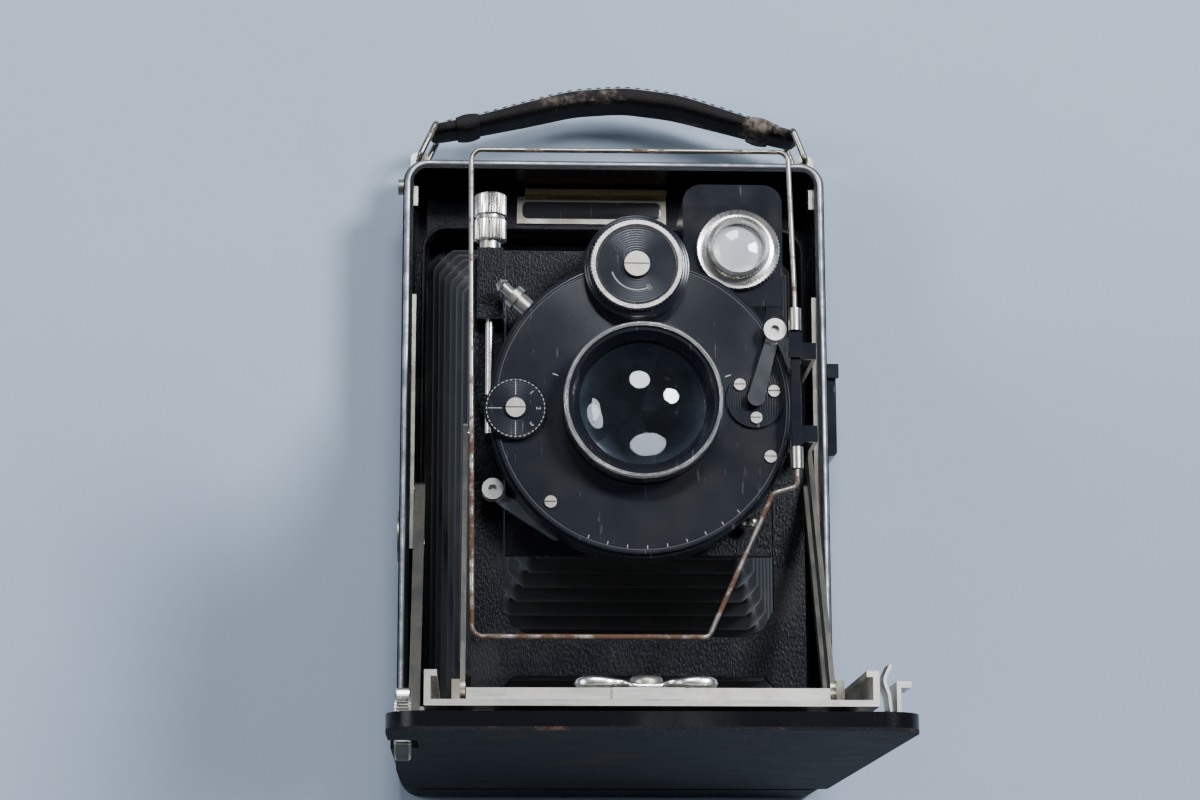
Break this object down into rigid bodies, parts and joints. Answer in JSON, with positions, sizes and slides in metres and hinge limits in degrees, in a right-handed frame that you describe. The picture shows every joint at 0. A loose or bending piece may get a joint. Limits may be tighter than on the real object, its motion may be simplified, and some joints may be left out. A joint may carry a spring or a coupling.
{
  "type": "folding plate camera",
  "caption": "Vintage folding plate camera lying on its back with the bed open, bellows out, dial-set shutter, wire and reflecting finders and a leather strap.",
  "frame": {"origin": "centre of the back face, which rests on the floor", "axes": "+Z out of the lens, +Y towards the strap, +X to the right when the lens faces the viewer"},
  "size_m": [0.1105, 0.1819, 0.1804],
  "materials": {
    "painted_frame": "gloss",
    "leather_black": "satin",
    "leather_strap": "satin",
    "nickel": "satin",
    "bright_nickel": "gloss",
    "brass": "satin",
    "rusty_wire": "matte",
    "black_enamel": "gloss",
    "glass": "gloss",
    "bellows_cloth": "matte",
    "aluminium": "satin"
  },
  "bodies": {
    "camera_body": {"body_shell": "painted_frame", "body_leather": "leather_black", "back_frame": "painted_frame", "bulkhead": "painted_frame", "blank_plate": "nickel", "inner_fittings": "nickel", "tripod_bush": "nickel", "strap_lugs": "nickel", "foot_bracket": "nickel", "bed_plate": "painted_frame", "bed_leather": "leather_black", "bed_hinge": "nickel", "bed_guides": "nickel", "bed_catch": "nickel", "bed_struts": "nickel", "strap": "leather_strap", "strap_rings": "rusty_wire"},
    "focusing_screen": {"screen_frame": "painted_frame", "ground_glass": "glass"},
    "latch_button": {"latch_button": "nickel"},
    "side_foot": {"side_foot": "nickel"},
    "focus_track": {"focus_track": "nickel", "bellows": "bellows_cloth"},
    "focus_knob": {"focus_knob": "nickel", "pinion_shaft": "nickel"},
    "standard": {"carriage": "nickel", "standard_frame": "painted_frame", "standard_braces": "nickel", "wire_sleeves": "black_enamel", "finder_bar": "nickel", "wing_screw": "nickel"},
    "lock_wing": {"wing_lever": "bright_nickel"},
    "wire_finder": {"wire_finder": "rusty_wire"},
    "rise_knob": {"rise_knob": "nickel"},
    "reflecting_finder": {"finder_body": "black_enamel", "finder_lens": "glass", "finder_lens_flange": "black_enamel", "finder_lens_ring": "nickel"},
    "lens_board": {"lens_board": "painted_frame", "shutter_case": "black_enamel", "shutter_face": "black_enamel", "shutter_blades": "nickel", "shutter_screws": "nickel", "cable_socket": "nickel", "lens_barrel": "bright_nickel", "lens_cells": "black_enamel", "front_lens": "glass", "rear_lens": "glass"},
    "speed_dial": {"speed_dial": "black_enamel", "speed_dial_ring": "bright_nickel", "speed_dial_screw": "nickel"},
    "mode_dial": {"mode_dial": "black_enamel", "mode_dial_screw": "nickel"},
    "cocking_lever": {"cocking_lever": "nickel"},
    "release_lever": {"release_lever": "nickel"},
    "aperture_lever": {"aperture_lever": "nickel"}
  },
  "joints": [
    {"name": "screen_slide", "type": "slide", "parent": "camera_body", "child": "focusing_screen", "axis": [0, 1, 0], "range_m": [0, 0.13]},
    {"name": "latch_press", "type": "slide", "parent": "camera_body", "child": "latch_button", "axis": [1, 0, 0], "range_m": [0, 0.0005], "stiffness_N_per_m": 2000},
    {"name": "foot_swing", "type": "hinge", "parent": "camera_body", "child": "side_foot", "pos_m": [0.0547, 0.0264, 0.015], "axis": [0, 0, 1], "range_deg": [0, 90]},
    {"name": "focus_slide", "type": "slide", "parent": "camera_body", "child": "focus_track", "axis": [0, 0, 1], "range_m": [0, 0.012]},
    {"name": "focus_turn", "type": "hinge", "parent": "camera_body", "child": "focus_knob", "pos_m": [-0.0476, -0.0741, 0.15], "axis": [1, 0, 0], "range_deg": [0, 520]},
    {"name": "standard_slide", "type": "slide", "parent": "focus_track", "child": "standard", "axis": [0, 0, 1], "range_m": [-0.084, 0], "deforming": ["bellows"]},
    {"name": "lock_wing_turn", "type": "hinge", "parent": "standard", "child": "lock_wing", "pos_m": [0, -0.068, 0.152], "axis": [0, 1, 0], "range_deg": [0, 30]},
    {"name": "wire_finder_turn", "type": "hinge", "parent": "standard", "child": "wire_finder", "pos_m": [0.031, 0, 0.1474], "axis": [0, 1, 0], "range_deg": [0, 180]},
    {"name": "reflecting_finder_turn", "type": "hinge", "parent": "standard", "child": "reflecting_finder", "pos_m": [0.0285, 0.0125, 0.129], "axis": [0, 0, -1], "range_deg": [0, 90]},
    {"name": "lens_rise", "type": "slide", "parent": "standard", "child": "lens_board", "axis": [0, 1, 0], "range_m": [-0.002, 0.003]},
    {"name": "rise_knob_turn", "type": "hinge", "parent": "standard", "child": "rise_knob", "pos_m": [-0.0311, 0.03, 0.1302], "axis": [0, 1, 0], "range_deg": [-145, 290]},
    {"name": "speed_dial_turn", "type": "hinge", "parent": "lens_board", "child": "speed_dial", "pos_m": [-0.0012, 0.02, 0.145], "axis": [0, 0, 1], "range_deg": [-180, 120]},
    {"name": "mode_dial_turn", "type": "hinge", "parent": "lens_board", "child": "mode_dial", "pos_m": [-0.0258, -0.0094, 0.143], "axis": [0, 0, 1], "range_deg": [-45, 45]},
    {"name": "cocking_lever_turn", "type": "hinge", "parent": "lens_board", "child": "cocking_lever", "pos_m": [0.0232, -0.007, 0.144], "axis": [0, 0, 1], "range_deg": [0, 45], "stiffness_Nm_per_rad": 0.02},
    {"name": "release_lever_turn", "type": "hinge", "parent": "lens_board", "child": "release_lever", "pos_m": [-0.017, -0.032, 0.132], "axis": [0, 0, 1], "range_deg": [0, 12], "stiffness_Nm_per_rad": 0.05},
    {"name": "aperture_lever_turn", "type": "hinge", "parent": "lens_board", "child": "aperture_lever", "pos_m": [0, -0.0084, 0.132], "axis": [0, 0, 1], "range_deg": [-60, 0]}
  ],
  "couplings": [
    {"joint": "focus_turn", "follows": "focus_slide", "rad_per_m": 740},
    {"joint": "rise_knob_turn", "follows": "lens_rise", "rad_per_m": 1256.6}
  ]
}
